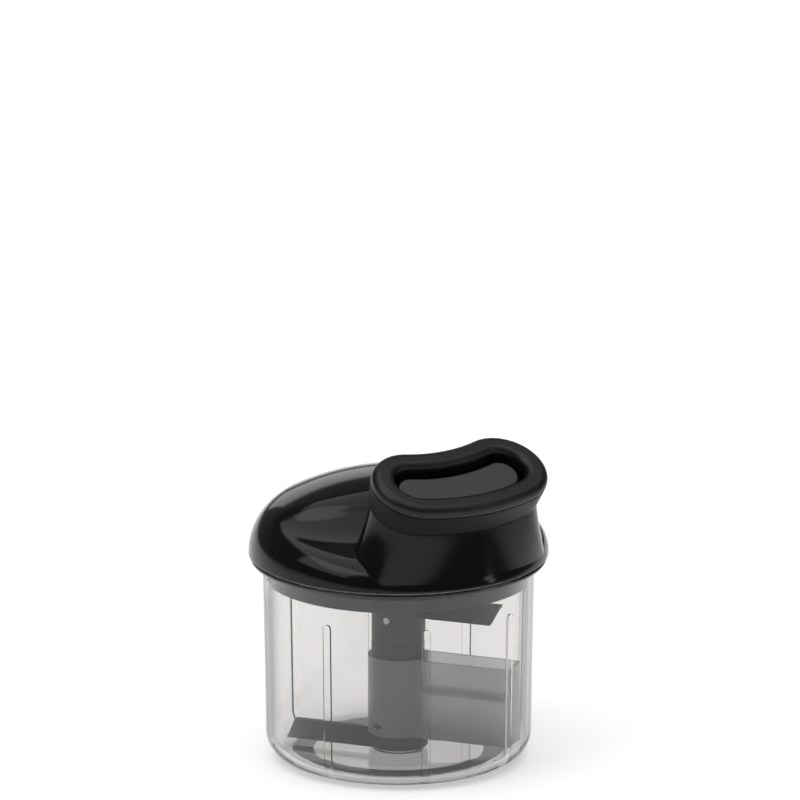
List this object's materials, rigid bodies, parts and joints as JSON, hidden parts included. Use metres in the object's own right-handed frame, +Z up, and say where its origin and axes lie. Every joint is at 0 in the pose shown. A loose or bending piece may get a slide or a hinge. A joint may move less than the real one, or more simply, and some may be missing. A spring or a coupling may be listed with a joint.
{
  "type": "pull-cord food chopper",
  "caption": "Hand food chopper: clear bowl, stacked steel blades on a black spindle, blade guard, scraper ring, and a domed black lid whose leaning pull handle turns the blades by a cord.",
  "frame": {"origin": "centre of the base on the surface the bowl stands on", "axes": "+Z up along the spindle; +X points to the pull handle"},
  "size_m": [0.1457, 0.144, 0.1611],
  "materials": {
    "clear_bowl": "clear, faintly smoky",
    "foot_rubber": "matt",
    "seal_rubber": "matt",
    "bearing_plastic": "satin",
    "spindle_black": "fine grain",
    "dot_white": "satin",
    "blade_steel": "ground, with a bright bevel",
    "guard_clear": "clear, frosted inside",
    "lid_gloss": "high gloss",
    "cover_dark": "gloss",
    "dock_satin": "satin",
    "handle_satin": "satin",
    "grip_soft": "soft touch",
    "eyelet_brass": "polished",
    "cord_fabric": "braided",
    "drive_plastic": "satin",
    "fixing_steel": "plain",
    "spring_steel": "blued"
  },
  "bodies": {
    "bowl": {"bowl": "clear_bowl", "non_slip_ring": "foot_rubber"},
    "lid_seal": {"lid_seal": "seal_rubber"},
    "lid": {"lid_shell": "lid_gloss", "lid_base": "cover_dark", "hub_bush": "bearing_plastic", "dock_plate": "dock_satin", "cord_eyelet": "eyelet_brass", "cord_guide": "bearing_plastic", "spring_cup": "drive_plastic", "cup_screws": "fixing_steel", "recoil_spring": "spring_steel", "drum_axle": "fixing_steel", "cover_screws": "fixing_steel", "pull_cord": "cord_fabric"},
    "drive_hub": {"drive_hub": "drive_plastic", "hub_clip": "fixing_steel"},
    "cord_drum": {"cord_drum": "drive_plastic", "one_way_clutch": "fixing_steel", "cord_winding": "cord_fabric"},
    "handle": {"handle_shell": "handle_satin", "handle_grip": "grip_soft", "handle_screws": "fixing_steel", "cord_anchor": "eyelet_brass"},
    "pin_bush": {"pin_bush": "bearing_plastic"},
    "blade_unit": {"spindle_sleeve": "spindle_black", "spindle_head": "spindle_black", "index_dot": "dot_white", "lower_blade": "blade_steel", "upper_blade": "blade_steel"},
    "blade_guard": {"blade_guard": "guard_clear"},
    "scraper_ring": {"scraper_ring": "spindle_black"}
  },
  "joints": [
    {"name": "lid_lift", "type": "slide", "parent": "bowl", "child": "lid_seal", "axis": [0, 0, 1], "range_m": [0, 0.211]},
    {"name": "lid_twist", "type": "hinge", "parent": "lid_seal", "child": "lid", "pos_m": [0, 0, 0.101], "axis": [0, 0, -1], "range_deg": [0, 18]},
    {"name": "hub_spin", "type": "hinge", "parent": "lid_seal", "child": "drive_hub", "pos_m": [0, 0, 0.095], "axis": [0, 0, 1], "range_deg": [0, 1040]},
    {"name": "drum_spin", "type": "hinge", "parent": "lid", "child": "cord_drum", "pos_m": [0, 0, 0.11], "axis": [0, 0, 1], "range_deg": [0, 1040], "deforming": ["recoil_spring"]},
    {"name": "handle_pull", "type": "slide", "parent": "lid", "child": "handle", "axis": [0.4226, 0, 0.9063], "range_m": [0, 0.32], "deforming": ["pull_cord"]},
    {"name": "blade_lift", "type": "slide", "parent": "bowl", "child": "pin_bush", "axis": [0, 0, 1], "range_m": [0, 0.189]},
    {"name": "blade_spin", "type": "hinge", "parent": "pin_bush", "child": "blade_unit", "pos_m": [0, 0, 0.03], "axis": [0, 0, 1], "range_deg": [0, 1040]},
    {"name": "guard_slide", "type": "slide", "parent": "blade_unit", "child": "blade_guard", "axis": [0, 0, -1], "range_m": [0, 0.056]},
    {"name": "scraper_slide", "type": "slide", "parent": "blade_unit", "child": "scraper_ring", "axis": [0, 0, -1], "range_m": [0, 0.068]}
  ],
  "couplings": [
    {"joint": "blade_lift", "follows": "lid_lift", "ratio": 0.89336},
    {"joint": "guard_slide", "follows": "lid_lift", "ratio": 0.26303},
    {"joint": "scraper_slide", "follows": "lid_lift", "ratio": 0.32133},
    {"joint": "drum_spin", "follows": "handle_pull", "rad_per_m": 56.338},
    {"joint": "hub_spin", "follows": "handle_pull", "rad_per_m": 56.338},
    {"joint": "blade_spin", "follows": "handle_pull", "rad_per_m": 56.338}
  ]
}
